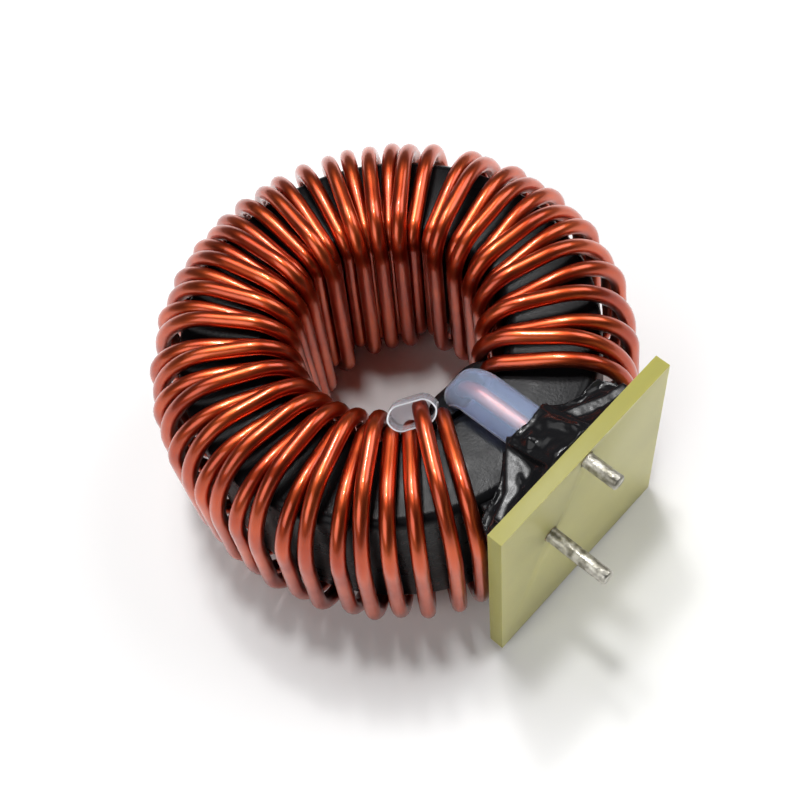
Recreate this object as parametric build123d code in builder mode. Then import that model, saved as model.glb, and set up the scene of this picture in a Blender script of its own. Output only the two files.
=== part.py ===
# Toroidal power inductor stood up against a small base plate
#
# A coated ring core carries 49 turns of thick enamelled wire. Both wire ends run to a
# bare circuit-board plate at the side, pass through it and stand out as two tinned pins.
# Black adhesive joins the core to the plate. Two short clear tubes guard the wire ends.
# Millimetres. The coil axis is +Z, z = 0 is the plane it rests on, the plate faces -Y.
import os
from math import acos, cos, degrees, hypot, radians, sin, sqrt

from build123d import *

os.makedirs("parts", exist_ok=True)

# Driving dimensions: wire and core
wire_d = 1.7                 # over the enamel
core_bore = 24.7             # diameter of the coated ring's hole
core_round = 1.2             # rounded edge of the coating
outer_off = 3.8              # from the coil's outside to the core's
crest_off = 3.6              # from the coil's top to the core's
lie_gap = 0.08               # wire centre line held this much off a touching fit
turn_gap = 0.12              # least room between neighbouring turns

# Driving dimensions: shape of a turn
coil_r = 26.0                # over the outer runs
coil_h = 25.8                # over the second layer, top to bottom
first_crest = 0.71           # how far a first-layer pass bows up off the core
first_shoulder = 6.2         # bend radius of the wire at the outer edge, first layer
second_shoulder = (7.15, 9.05)   # half axes of the fuller second-layer shoulder
second_bend = 4.2            # bend radius of a second-layer turn at the bore
nest_share = 0.88            # depth of a second-layer run in the bore, in wire diameters
bore_lean = 6.0              # degrees a bore run leans from bottom to top
outer_lean = 1.7             # degrees an outer run leans from bottom to top

# Driving dimensions: base plate and wire ends
plate_w, plate_h, plate_t = 25.0, 27.0, 1.7
plate_x, plate_y = -0.55, -26.21
plate_lean = 2.47            # degrees, the top stands further out
plate_turn = 2.47            # degrees, in its own plane
hole_d = 1.8
upper_hole = (-0.05, 12.25)  # from the plate's middle, across and up
lower_hole = (-5.07, 3.56)
upper_pin = 3.9              # stand-out past the plate's outer face
lower_pin = 7.2

# Driving dimensions: sleeves and adhesive
sleeve_w, sleeve_t, sleeve_wall = 4.9, 3.0, 0.3
lower_sleeve_w, lower_sleeve_t = 4.7, 2.8
lead_x, lead_y = -0.15, -8.8  # where the upper wire end rises through the bore
upper_bend = 4.1             # bend radius of the upper wire end over the core's edge
lead_ease = 0.6              # length over which the upper end starts to rise
elbow_gap = 0.3              # from the lower end's elbow to the plate
sleeve_end_y = -19.9
sleeve_foot_z = 18.6
lower_foot_z, mouth_z = 8.0, 20.3
fit_gap = 0.05               # room the adhesive leaves round wires and sleeves
lip_z = 24.9                 # top of the adhesive's sheet
cover_top = 27.1             # top of the adhesive over the upper wire end
mass_left, mass_right = 10.3, 9.3    # how far it spreads along the plate
mass_foot = 5.0              # its lower end

# Worked-out dimensions
wire_r = wire_d / 2
core_ro, core_ri = coil_r - outer_off, core_bore / 2
core_h = coil_h - 2 * crest_off
mid_z = coil_h / 2
half_h = core_h / 2
core_top = mid_z + half_h
outer_r = coil_r - wire_r
crest_h = coil_h / 2 - wire_r
first_bore = core_ri - wire_r - lie_gap
hug_bend = core_round + wire_r + lie_gap
hug_h = half_h - core_round
second_step = nest_share * wire_d
second_bore = first_bore - second_step
riser_r = core_ro + wire_r + lie_gap
tube_z = core_top + sleeve_t / 2 + lie_gap

# Turn positions in degrees round the coil, from the upper wire end to the lower one
outer_marks = [
    -61.5, -56.8, -49.8, -41.6, -32.2, -25.5, -17.4, -12.3, -4.4, 0.9, 7.4, 14.7, 19.4,
    30.2, 36.4, 41.3, 47.3, 53.5, 58.9, 66.1, 73.3, 78.6, 84.6, 91.1, 96.0, 100.2, 105.7,
    109.8, 116.2, 121.7, 127.3, 135.9, 140.9, 146.9, 152.1, 159.7, 165.8, 172.5, 177.3,
    184.4, 189.6, 197.4, 202.8, 210.9, 216.4, 222.8, 229.5, 237.2, 243.0,
]
first_marks = {
    1: -73.8, 3: -56.3, 5: -40.5, 7: -24.6, 9: -11.5, 11: 4.6, 13: 19.6, 14: 28.3,
    16: 40.6, 18: 52.2, 20: 64.6, 21: 73.3, 23: 84.7, 24: 93.4, 26: 104.8, 28: 116.2,
    30: 127.6, 32: 139.6, 34: 151.8, 36: 164.2, 38: 176.8, 40: 189.2, 42: 201.2,
    44: 213.0, 46: 226.0, 47: 235.0, 49: 252.0,
}
sleeved_turn = 48            # its bore run stands in the lower sleeve
sleeved_r = 9.15
sleeved_top, sleeved_foot = 243.2, 244.7
sleeve_off = 4.8             # degrees from the wire in it to the lower sleeve's middle
turns = len(outer_marks)

# Section and station counts
sides = 6
bend_steps = 3
wide_bend_steps = 4
shoulder_steps = 4


def polar(r, angle, z):
    """Point at a radius and an angle round the coil axis."""
    return Vector(r * cos(radians(angle)), r * sin(radians(angle)), z)


def least_step(r, other_r):
    """Smallest angle between two wires that run side by side at two radii."""
    cosine = (r**2 + other_r**2 - (wire_d + turn_gap)**2) / (2 * r * other_r)
    return degrees(acos(cosine))


def spaced(marks, least):
    """Marks moved apart, each pair by halves, until no step is under its least one."""
    marks = list(marks)
    for _ in range(80):
        for i in range(len(marks) - 1):
            lack = least[i] - (marks[i + 1] - marks[i])
            if lack > 0:
                marks[i] -= lack / 2
                marks[i + 1] += lack / 2
    return marks


def lean_share(turn):
    """Share of the full lean; it dies out towards the lower sleeve."""
    return min(1.0, max(0.25, (46 - turn) / 10))


side_step = least_step(first_bore, first_bore)
nest_step = 2 * least_step(first_bore, second_bore)
first_turns = list(first_marks)
first_least = [nest_step if b - a == 2 else side_step
               for a, b in zip(first_turns, first_turns[1:])]
outer_at = spaced(outer_marks, [least_step(core_ro, core_ro)] * (turns - 1))
first_top = dict(zip(first_turns, spaced(first_marks.values(), first_least)))
first_foot = dict(zip(first_turns, spaced(
    [first_top[k] + bore_lean * lean_share(k) for k in first_turns], first_least)))


def is_first(turn):
    """Whether a turn lies directly on the core in the bore."""
    return turn in first_top


def bore_radius(turn):
    """Radius of a turn's run through the bore."""
    if is_first(turn):
        return first_bore
    return sleeved_r if turn == sleeved_turn else second_bore


def bore_angle(turn, first_angles):
    """Angle of a bore run at one end; a second-layer run nests between its neighbours."""
    if is_first(turn):
        return first_angles[turn]
    return (first_angles[turn - 1] + first_angles[turn + 1]) / 2


def bore_top(turn):
    """Angle of a bore run at its top end."""
    return sleeved_top if turn == sleeved_turn else bore_angle(turn, first_top)


def bore_foot(turn):
    """Angle of a bore run at its bottom end."""
    return sleeved_foot if turn == sleeved_turn else bore_angle(turn, first_foot)


def bend(centre_r, centre_h, a, b, start, end, steps):
    """Points of an elliptical bend in the radius-height plane."""
    angles = [radians(start + (end - start) * i / steps) for i in range(steps + 1)]
    return [(centre_r + a * cos(t), centre_h + b * sin(t)) for t in angles]


def profile(bore_r, first):
    """Radius-height points of a pass, from the bore run to the outer run."""
    if first:
        crest = hug_h + hug_bend + first_crest
        inner = bend(bore_r + hug_bend, hug_h, hug_bend, hug_bend, 180, 96, bend_steps)
        reach, rise = first_shoulder, first_shoulder
    else:
        crest = crest_h
        centre_r = bore_r + second_bend
        inner = bend(centre_r, crest - second_bend, second_bend, second_bend, 180, 90,
                     wide_bend_steps)
        reach, rise = second_shoulder
    return inner + bend(outer_r - reach, crest - rise, reach, rise, 90, 0, shoulder_steps)


def laid(points, bore_point, outer_point, side):
    """A profile laid along the straight line between two points in plan."""
    near, far = points[0][0], points[-1][0]
    out = []
    for r, h in points:
        t = (r - near) / (far - near)
        plan = bore_point + (outer_point - bore_point) * t
        out.append(Vector(plan.X, plan.Y, mid_z + side * h))
    return out


# The plate's own plane: its outer face, across, up and outward
lean, turn_in = radians(plate_lean), radians(plate_turn)
plate_out = Vector(0, -cos(lean), -sin(lean))
plate_across = Vector(cos(turn_in), sin(turn_in) * sin(lean), -sin(turn_in) * cos(lean))
plate_up = plate_out.cross(plate_across)
plate_z = (plate_w / 2 * sin(turn_in) + plate_h / 2 * cos(turn_in)) * cos(lean)
plate_mid = Vector(plate_x, plate_y, plate_z)
outer_face = Plane(origin=plate_mid, x_dir=plate_across, z_dir=plate_out)
back_face = Plane(origin=plate_mid - plate_out * plate_t, x_dir=plate_across, z_dir=plate_out)


def in_hole(hole, out):
    """Point on a plate hole's axis, at a distance outwards from the outer face."""
    return outer_face.origin + plate_across * hole[0] + plate_up * hole[1] + plate_out * out


def upper_lead():
    """Wire end from the plate's outer face, over the core and down to the bore."""
    points = [in_hole(upper_hole, 0), in_hole(upper_hole, -plate_t - 0.3 * wire_d),
              in_hole(upper_hole, -plate_t - 0.8 * wire_d) - Vector(0, 0, 0.15 * wire_d)]
    points += [Vector(lead_x, sleeve_end_y - lead_ease, tube_z + 0.35 * lead_ease),
               Vector(lead_x, sleeve_end_y + lead_ease, tube_z)]
    for i in range(4):
        t = radians(30 * i)
        points.append(Vector(lead_x, lead_y - upper_bend * (1 - sin(t)),
                             tube_z - upper_bend * (1 - cos(t))))
    return points


def lower_lead():
    """Wire end from the last bore run, under the core and up its side to the plate."""
    face, root = in_hole(lower_hole, 0), in_hole(lower_hole, -plate_t)
    riser_y = -sqrt(riser_r**2 - root.X**2)
    inner = bend(first_bore + hug_bend, hug_h, hug_bend, hug_bend, 180, 90, bend_steps)
    corner = bend(riser_r - hug_bend, hug_h, hug_bend, hug_bend, 90, 0, bend_steps)
    foot = polar(first_bore, bore_foot(turns), 0)
    points = laid(inner + corner, foot, Vector(root.X, riser_y, 0), -1)
    reach = riser_y - root.Y - elbow_gap
    rise = root.Z + elbow_gap * sin(lean)
    for i in range(bend_steps + 1):
        t = radians(90 * i / bend_steps)
        points.append(Vector(root.X, riser_y - reach * (1 - cos(t)),
                             rise - reach * (1 - sin(t))))
    return points + [face]


def wire_route():
    """Stations of the whole wire and those where its section is squared up again."""
    points = upper_lead()
    square = {}
    foot = Vector(lead_x, lead_y, 0)
    start_r = hypot(lead_x, lead_y)
    for k in range(1, turns + 1):
        under = profile(start_r, False) if k == 1 else profile(
            bore_radius(k - 1), is_first(k - 1))
        if k > 1:
            foot = polar(bore_radius(k - 1), bore_foot(k - 1), 0)
        low = polar(outer_r, outer_at[k - 1] - outer_lean, 0)
        high = polar(outer_r, outer_at[k - 1], 0)
        points += laid(under, foot, low, -1)
        square[len(points)] = high
        head = polar(bore_radius(k), bore_top(k), 0)
        points += laid(profile(bore_radius(k), is_first(k)), head, high, 1)[::-1]
    return points + lower_lead(), square


def slid(ring, along, at, normal):
    """Ring points slid along a direction onto a plane."""
    return [v + along * ((at - v).dot(normal) / along.dot(normal)) for v in ring]


def squared(at, along, outward, r):
    """A fresh section round a point, its first corner turned outward."""
    x = (outward - along * outward.dot(along)).normalized()
    y = along.cross(x)
    turn = [radians(360 * i / sides) for i in range(sides)]
    return [at + x * (r * cos(t)) + y * (r * sin(t)) for t in turn]


def mitred_rings(points, square, r):
    """Mitred sections at every station."""
    way = [(b - a).normalized() for a, b in zip(points, points[1:])]
    rings = [squared(points[0], way[0], Vector(0, 0, 1), r)]
    for i in range(1, len(points) - 1):
        mitre = way[i - 1] + way[i]
        if i in square:
            ring = squared(points[i], way[i], square[i], r)
            rings.append(slid(ring, way[i], points[i], mitre))
        else:
            rings.append(slid(rings[-1], way[i - 1], points[i], mitre))
    rings.append(slid(rings[-1], way[-1], points[-1], way[-1]))
    return rings


def flat(*corners):
    """A flat face between corners."""
    return Face(Wire.make_polygon(corners, close=True))


def faceted_tube(points, square, r):
    """A bent bar through the stations as one closed solid of flat faces."""
    rings = mitred_rings(points, square, r)
    faces = [flat(*rings[0]), flat(*rings[-1])]
    for i in range(len(rings) - 1):
        for j in range(sides):
            n = (j + 1) % sides
            a, b, c, d = rings[i][j], rings[i][n], rings[i + 1][n], rings[i + 1][j]
            if i + 1 in square:
                faces += [flat(a, b, c), flat(a, c, d)]
            else:
                faces.append(flat(a, b, c, d))
    return Solid(Shell(faces))


# Core
with BuildPart() as core:
    with Locations((0, 0, mid_z)):
        Cylinder(core_ro, core_h)
        Cylinder(core_ri, core_h, mode=Mode.SUBTRACT)
    fillet(core.edges().filter_by(GeomType.CIRCLE), core_round)

# Winding
wire = faceted_tube(*wire_route(), wire_r)
with BuildPart() as winding:
    add(wire)

# Base plate
with BuildPart() as base_plate:
    with BuildSketch(outer_face):
        Rectangle(plate_w, plate_h)
        with Locations(upper_hole, lower_hole):
            Circle(hole_d / 2, mode=Mode.SUBTRACT)
    extrude(amount=-plate_t)


# Tinned wire ends
def pin(hole, stand_out):
    """Straight wire end from the plate's outer face."""
    with BuildPart() as end:
        with BuildSketch(Plane(origin=in_hole(hole, 0), x_dir=plate_across, z_dir=plate_out)):
            Circle(wire_r)
        extrude(amount=stand_out)
    return end


lead_end_upper = pin(upper_hole, upper_pin)
lead_end_lower = pin(lower_hole, lower_pin)


# Sleeves
def upper_tube(width, thick):
    """Flattened tube bent over the core's edge, by its outside size."""
    arc_z = tube_z - upper_bend
    with BuildPart() as tube:
        with BuildLine() as way:
            Line((lead_x, lead_y, sleeve_foot_z), (lead_x, lead_y, arc_z))
            ThreePointArc((lead_x, lead_y, arc_z),
                          (lead_x, lead_y - upper_bend * (1 - sqrt(0.5)),
                           arc_z + upper_bend * sqrt(0.5)),
                          (lead_x, lead_y - upper_bend, tube_z))
            Line((lead_x, lead_y - upper_bend, tube_z), (lead_x, sleeve_end_y, tube_z))
        with BuildSketch(Plane(origin=(lead_x, lead_y, sleeve_foot_z))):
            SlotOverall(width, thick)
        sweep(path=way.wire())
    return tube


with BuildPart() as sleeve_upper:
    add(upper_tube(sleeve_w, sleeve_t).part)
    bore = upper_tube(sleeve_w - 2 * sleeve_wall, sleeve_t - 2 * sleeve_wall)
    add(bore.part, mode=Mode.SUBTRACT)

sleeve_foot = polar(sleeved_r, sleeved_foot - sleeve_off, lower_foot_z)
sleeve_mouth = polar(sleeved_r, sleeved_top - sleeve_off, mouth_z)
sleeve_across = polar(1, sleeved_top - sleeve_off + 90, 0)
with BuildPart() as sleeve_lower:
    with BuildSketch(Plane(origin=sleeve_foot, x_dir=sleeve_across,
                           z_dir=sleeve_mouth - sleeve_foot)):
        SlotOverall(lower_sleeve_w, lower_sleeve_t)
        SlotOverall(lower_sleeve_w - 2 * sleeve_wall, lower_sleeve_t - 2 * sleeve_wall,
                    mode=Mode.SUBTRACT)
    extrude(amount=(sleeve_mouth - sleeve_foot).length)


# Adhesive, with a channel round each wire end
beyond = 2 * plate_y         # well past the plate, cut off at its back face
mass_plan = [(-0.83 * mass_left, -0.88 * core_ro), (-0.96 * mass_left, -1.054 * core_ro),
             (-mass_left, beyond), (mass_right, beyond),
             (0.95 * mass_right, -0.9 * core_ro), (0, -0.8 * core_ro)]
sheet_plan = [(-2.5, -18.6), (-4.6, -20.2), (-7.1, -22.3), (-9.9, -23.3), (-9.9, beyond),
              (9.2, beyond), (9.2, -23.6), (7.1, -23.1), (3.3, -21.1), (1.0, -20.0)]
cover_side = [(-19.4, 24.0), (-19.4, 25.3), (-22.0, 26.0), (-24.4, cover_top),
              (beyond, cover_top), (beyond, 24.0)]
channel_r = (wire_r + fit_gap) / cos(radians(180 / sides))
upper_channel = faceted_tube(upper_lead(), {}, channel_r)
lower_channel = faceted_tube(lower_lead(), {}, channel_r)
with BuildPart() as adhesive:
    with BuildSketch(Plane.XY.offset(mass_foot)):
        Polygon(*mass_plan, align=None)
    extrude(amount=core_top - mass_foot)
    with BuildSketch(Plane.XY.offset(core_top - 0.5)):
        Polygon(*sheet_plan, align=None)
    extrude(amount=lip_z - core_top + 0.5)
    with BuildSketch(Plane.YZ.offset(lead_x - 3.0)):
        Polygon(*cover_side, align=None)
    extrude(amount=5.8)
    Cylinder(core_ro + 0.02, 2 * core_top + 0.04, mode=Mode.SUBTRACT)
    with BuildSketch(back_face.offset(-0.02)):
        Rectangle(3 * plate_w, 3 * plate_h)
    extrude(amount=3 * plate_w, mode=Mode.SUBTRACT)
    add(upper_tube(sleeve_w + 2 * fit_gap, sleeve_t + 2 * fit_gap).part, mode=Mode.SUBTRACT)
    add([upper_channel, lower_channel], mode=Mode.SUBTRACT)

nodes = {
    "core": core, "winding": winding, "base_plate": base_plate,
    "lead_end_upper": lead_end_upper, "lead_end_lower": lead_end_lower,
    "adhesive": adhesive, "sleeve_upper": sleeve_upper, "sleeve_lower": sleeve_lower,
}
for name, node in nodes.items():
    node.part.label = name
    export_step(node.part, f"parts/{name}.step")
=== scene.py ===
"""Looks of a toroidal inductor: 49 turns of enamelled wire on a coated ring core, glued
by its side to a bare base plate that both wire ends pass through.

The frame is the part's: the coil axis is +Z, z = 0 is the plane it rests on, and the
plate's outer face looks towards -Y. Sizes are millimetres, as in the part, and become
metres where a mesh is made. Only the finishes and the studio are given in metres.
"""

import logging
import math
from dataclasses import dataclass, field
from enum import Enum

import bpy
from mathutils import Matrix, Vector, noise


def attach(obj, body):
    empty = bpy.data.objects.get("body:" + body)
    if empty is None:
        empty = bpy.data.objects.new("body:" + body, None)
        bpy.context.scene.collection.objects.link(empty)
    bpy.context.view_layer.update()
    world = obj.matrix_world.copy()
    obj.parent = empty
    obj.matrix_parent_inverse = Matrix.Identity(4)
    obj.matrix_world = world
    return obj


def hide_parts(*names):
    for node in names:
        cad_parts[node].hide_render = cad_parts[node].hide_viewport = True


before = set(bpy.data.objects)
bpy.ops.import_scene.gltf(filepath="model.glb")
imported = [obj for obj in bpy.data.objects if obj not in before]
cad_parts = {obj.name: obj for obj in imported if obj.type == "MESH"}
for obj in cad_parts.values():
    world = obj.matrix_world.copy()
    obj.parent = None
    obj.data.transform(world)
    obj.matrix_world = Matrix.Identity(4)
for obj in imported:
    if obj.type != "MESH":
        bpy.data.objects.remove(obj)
log = logging.getLogger("inductor")

MM = 0.001
MERGE = 1e-6           # metres under which two points of a new mesh become one
NODE_MERGE = 2e-6      # the same on a copy of a solid
SEAM_MERGE = 1e-5      # the same where a spun shape closes
PATTERN_LOW = 0.3      # usual range of a noise pattern's values
PATTERN_HIGH = 0.7
SPACING_ROUNDS = 80    # passes over the turns that move them apart

Color = tuple[float, float, float]
Place = tuple[float, float, float]
Pair = tuple[float, float]
Settings = tuple[tuple[str, float | Color], ...]


# Shared steps

def deselect() -> None:
    """Clear the selection, so that an operator acts only on its own piece."""
    if bpy.context.object and bpy.context.object.mode != "OBJECT":
        bpy.ops.object.mode_set(mode="OBJECT")
    bpy.ops.object.select_all(action="DESELECT")


def take(piece: bpy.types.Object) -> bpy.types.Object:
    """Make one piece the selected and active object.

    Args:
        piece: The object to work on.

    Returns:
        The same object.
    """
    deselect()
    piece.select_set(True)
    bpy.context.view_layer.objects.active = piece
    return piece


def apply_place(piece: bpy.types.Object) -> None:
    """Move a piece's place, turn and scale into its mesh."""
    take(piece)
    bpy.ops.object.transform_apply(location=True, rotation=True, scale=True)


def apply_modifier(piece: bpy.types.Object, kind: str, **settings: object) -> None:
    """Add a modifier, set it and apply it.

    Args:
        piece: The object that takes it.
        kind: The modifier's type.
        **settings: Its properties.
    """
    take(piece)
    modifier = piece.modifiers.new(kind.title(), kind)
    for key, value in settings.items():
        setattr(modifier, key, value)
    bpy.ops.object.modifier_apply(modifier=modifier.name)


def merge_and_turn_out(piece: bpy.types.Object, distance: float = MERGE) -> None:
    """Merge doubled vertices and point the faces outwards.

    Args:
        piece: The object to clean up.
        distance: Metres under which two vertices become one.
    """
    take(piece)
    bpy.ops.object.mode_set(mode="EDIT")
    bpy.ops.mesh.select_all(action="SELECT")
    bpy.ops.mesh.remove_doubles(threshold=distance)
    bpy.ops.mesh.normals_make_consistent(inside=False)
    bpy.ops.object.mode_set(mode="OBJECT")


def smooth(piece: bpy.types.Object, degrees: float = 40.0) -> None:
    """Shade a piece smooth across edges flatter than an angle."""
    take(piece)
    bpy.ops.object.shade_smooth_by_angle(angle=math.radians(degrees))


def copy_of_node(node: str, name: str) -> bpy.types.Object:
    """A merged copy of a solid of the frame, to be shaped further.

    Args:
        node: Name of the frame's node.
        name: Name of the new piece.

    Returns:
        The new object.
    """
    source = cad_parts[node]
    piece = bpy.data.objects.new(name, source.data.copy())
    piece.matrix_world = source.matrix_world
    bpy.context.scene.collection.objects.link(piece)
    piece.data.materials.clear()
    apply_place(piece)
    merge_and_turn_out(piece, NODE_MERGE)
    return piece


def path_curve(name: str, points: list[Vector]) -> bpy.types.Object:
    """A curve of straight runs through points.

    Args:
        name: Name of the new object.
        points: The points, in millimetres.

    Returns:
        The curve object.
    """
    deselect()
    bpy.ops.curve.primitive_nurbs_path_add(location=(0, 0, 0))
    curve = bpy.context.object
    curve.name = name
    curve.data.splines.clear()
    spline = curve.data.splines.new("POLY")
    spline.points.add(len(points) - 1)
    for point, place in zip(spline.points, points):
        point.co = (*(place * MM), 1.0)
    return curve


def curve_to_mesh(curve: bpy.types.Object) -> bpy.types.Object:
    """Turn a bevelled curve into a merged mesh.

    Args:
        curve: The curve object.

    Returns:
        The mesh object.
    """
    take(curve)
    bpy.ops.object.convert(target="MESH")
    piece = bpy.context.object
    merge_and_turn_out(piece)
    return piece


def skin(name: str, rings: list[list[Vector]], ends: bool = False) -> bpy.types.Object:
    """A surface through closed rows of points.

    Args:
        name: Name of the new piece.
        rings: Rows of equally many points, in millimetres.
        ends: Whether the first and last rows are filled.

    Returns:
        The new mesh object.
    """
    count = len(rings[0])
    faces = [(i * count + j, i * count + (j + 1) % count,
              (i + 1) * count + (j + 1) % count, (i + 1) * count + j)
             for i in range(len(rings) - 1) for j in range(count)]
    if ends:
        faces.append(tuple(range(count)))
        faces.append(tuple(range((len(rings) - 1) * count, len(rings) * count)))
    mesh = bpy.data.meshes.new(name)
    mesh.from_pydata([tuple(p * MM) for ring in rings for p in ring], [], faces)
    piece = bpy.data.objects.new(name, mesh)
    bpy.context.scene.collection.objects.link(piece)
    merge_and_turn_out(piece)
    return piece


def dress(piece: bpy.types.Object, material: bpy.types.Material, slot: str,
          *nodes: str) -> None:
    """Give a piece its material and body, and hide the frame nodes that it stands for.

    Args:
        piece: The finished object.
        material: Its material; a piece that has materials already keeps those.
        slot: Material slot of the record; not used.
        *nodes: Frame nodes that it replaces.
    """
    if not piece.data.materials:
        piece.data.materials.append(material)
    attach(piece, "root")
    if nodes:
        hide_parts(*nodes)
    log.info("%s: %d faces", piece.name, len(piece.data.polygons))


def polar(radius: float, angle: float, height: float = 0.0) -> Vector:
    """Point at a radius and an angle in degrees round the coil axis."""
    turn = math.radians(angle)
    return Vector((radius * math.cos(turn), radius * math.sin(turn), height))


# Finishes

@dataclass(frozen=True)
class Tones:
    """Two colours that a noise pattern blends, and where in its range it does."""

    scale: float
    detail: float
    dark: Color
    light: Color
    start: float = PATTERN_LOW
    end: float = PATTERN_HIGH


@dataclass(frozen=True)
class Gloss:
    """Roughness that a noise pattern spreads over a surface."""

    scale: float
    low: float
    high: float
    detail: float = 3.0


@dataclass(frozen=True)
class Relief:
    """Fine bumps of a surface; the height is that of a full step, in metres."""

    scale: float
    detail: float
    height: float
    strength: float


class Shading:
    """A material's node tree with its main shader."""

    def __init__(self, name: str, color: Color, roughness: float,
                 metallic: float = 0.0) -> None:
        """Start a material.

        Args:
            name: The material's name.
            color: Base colour.
            roughness: Base roughness.
            metallic: 1 for metal.
        """
        self.material = bpy.data.materials.new(name)
        self.material.use_nodes = True
        self.tree = self.material.node_tree
        self.shader = self.tree.nodes["Principled BSDF"]
        self.set("Base Color", (*color, 1.0))
        self.set("Roughness", roughness)
        self.set("Metallic", metallic)
        self.coordinates = self.tree.nodes.new("ShaderNodeTexCoord")
        self.material.diffuse_color = (*color, 1.0)

    def set(self, socket: str, value: object) -> None:
        """Set a constant on the shader."""
        self.shader.inputs[socket].default_value = value

    def link(self, source: bpy.types.NodeSocket, target: bpy.types.NodeSocket) -> None:
        """Join two sockets."""
        self.tree.links.new(source, target)

    def noise(self, scale: float, detail: float) -> bpy.types.NodeSocket:
        """A noise pattern on the piece's own coordinates.

        Args:
            scale: Pattern scale, per metre.
            detail: Number of octaves.

        Returns:
            The noise value's socket.
        """
        texture = self.tree.nodes.new("ShaderNodeTexNoise")
        texture.inputs["Scale"].default_value = scale
        texture.inputs["Detail"].default_value = detail
        self.link(self.coordinates.outputs["Object"], texture.inputs["Vector"])
        return texture.outputs["Fac"]

    def blend(self, tones: Tones) -> None:
        """Blend the base colour by a pattern.

        Args:
            tones: The pattern and its colours.
        """
        pattern = self.noise(tones.scale, tones.detail)
        node = self.tree.nodes.new("ShaderNodeValToRGB")
        stops = ((tones.start, tones.dark), (tones.end, tones.light))
        for element, (place, color) in zip(node.color_ramp.elements, stops):
            element.position = place
            element.color = (*color, 1.0)
        self.link(pattern, node.inputs["Fac"])
        self.link(node.outputs["Color"], self.shader.inputs["Base Color"])

    def dull(self, gloss: Gloss) -> None:
        """Vary the roughness by a pattern.

        Args:
            gloss: The pattern and its lowest and highest roughness.
        """
        pattern = self.noise(gloss.scale, gloss.detail)
        node = self.tree.nodes.new("ShaderNodeMapRange")
        node.inputs["From Min"].default_value = PATTERN_LOW
        node.inputs["From Max"].default_value = PATTERN_HIGH
        node.inputs["To Min"].default_value = gloss.low
        node.inputs["To Max"].default_value = gloss.high
        self.link(pattern, node.inputs["Value"])
        self.link(node.outputs["Result"], self.shader.inputs["Roughness"])

    def bump(self, relief: Relief) -> None:
        """Raise the surface by a pattern, on top of the bumps that it has.

        Args:
            relief: The pattern and its height.
        """
        pattern = self.noise(relief.scale, relief.detail)
        node = self.tree.nodes.new("ShaderNodeBump")
        node.inputs["Distance"].default_value = relief.height
        node.inputs["Strength"].default_value = relief.strength
        self.link(pattern, node.inputs["Height"])
        previous = self.shader.inputs["Normal"].links
        if previous:
            self.link(previous[0].from_socket, node.inputs["Normal"])
        self.link(node.outputs["Normal"], self.shader.inputs["Normal"])


@dataclass(frozen=True)
class Finish:
    """What every finish has: a colour, patterns and constants on the shader's sockets."""

    name: str
    color: Color
    roughness: float
    metallic: float = 0.0
    settings: Settings = ()
    tones: Tones | None = None
    gloss: Gloss | None = None
    reliefs: tuple[Relief, ...] = ()

    def make(self) -> bpy.types.Material:
        """Build the material.

        Returns:
            The material.
        """
        shading = Shading(self.name, self.color, self.roughness, self.metallic)
        for socket, value in self.settings:
            shading.set(socket, value)
        if self.tones:
            shading.blend(self.tones)
        if self.gloss:
            shading.dull(self.gloss)
        for relief in self.reliefs:
            shading.bump(relief)
        return shading.material


@dataclass(frozen=True)
class EnamelFinish(Finish):
    """Glossy orange-brown enamel over copper."""

    name: str = "wire enamel"
    color: Color = (0.55, 0.11, 0.03)
    roughness: float = 0.3
    metallic: float = 1.0
    settings: Settings = (("Coat Weight", 0.8), ("Coat Roughness", 0.06),
                          ("Coat IOR", 1.42))
    tones: Tones = Tones(160.0, 2.0, (0.38, 0.044, 0.015), (0.64, 0.106, 0.030))
    gloss: Gloss = Gloss(900.0, 0.32, 0.40)
    reliefs: tuple[Relief, ...] = (Relief(300.0, 1.0, 0.00002, 0.25),)


@dataclass(frozen=True)
class CoreCoatFinish(Finish):
    """Black epoxy coating, slightly grainy."""

    name: str = "core coating"
    color: Color = (0.006, 0.006, 0.007)
    roughness: float = 0.3
    settings: Settings = (("Specular IOR Level", 0.13),)
    gloss: Gloss = Gloss(500.0, 0.24, 0.36)
    reliefs: tuple[Relief, ...] = (Relief(3200.0, 3.0, 0.00008, 0.25),
                                   Relief(220.0, 2.0, 0.0002, 0.12))


class LaminatePart(Enum):
    """Which surface of the laminate a material is for, with its colour."""

    FACE = (0.62, 0.585, 0.24)
    EDGE = (0.36, 0.335, 0.085)


@dataclass(frozen=True)
class LaminateFinish(Finish):
    """Bare glass laminate, pale yellow-green, slightly cloudy and translucent."""

    roughness: float = 0.42
    settings: Settings = (("Specular IOR Level", 0.3), ("Subsurface Weight", 0.35),
                          ("Subsurface Radius", (0.0015, 0.0013, 0.0006)),
                          ("Subsurface Scale", 1.0))
    reliefs: tuple[Relief, ...] = (Relief(1500.0, 2.0, 0.00003, 0.4),)
    clouds: Pair = (90.0, 3.0)
    cloud_shares: Pair = (0.93, 1.06)

    @classmethod
    def of(cls, part: LaminatePart) -> "LaminateFinish":
        """Finish of one surface.

        Args:
            part: The surface.

        Returns:
            The finish.
        """
        dark, light = (tuple(share * c for c in part.value) for share in cls.cloud_shares)
        return cls(f"laminate {part.name.lower()}", part.value,
                   tones=Tones(*cls.clouds, dark, light))


@dataclass(frozen=True)
class TinFinish(Finish):
    """Rough bright tin on the wire ends."""

    name: str = "tin"
    color: Color = (0.50, 0.48, 0.42)
    roughness: float = 0.32
    metallic: float = 1.0
    tones: Tones = Tones(1100.0, 4.0, (0.20, 0.188, 0.15), (0.54, 0.52, 0.46), 0.38, 0.6)
    gloss: Gloss = Gloss(1500.0, 0.3, 0.55)
    reliefs: tuple[Relief, ...] = (Relief(2200.0, 3.0, 0.00012, 0.6),)


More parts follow.
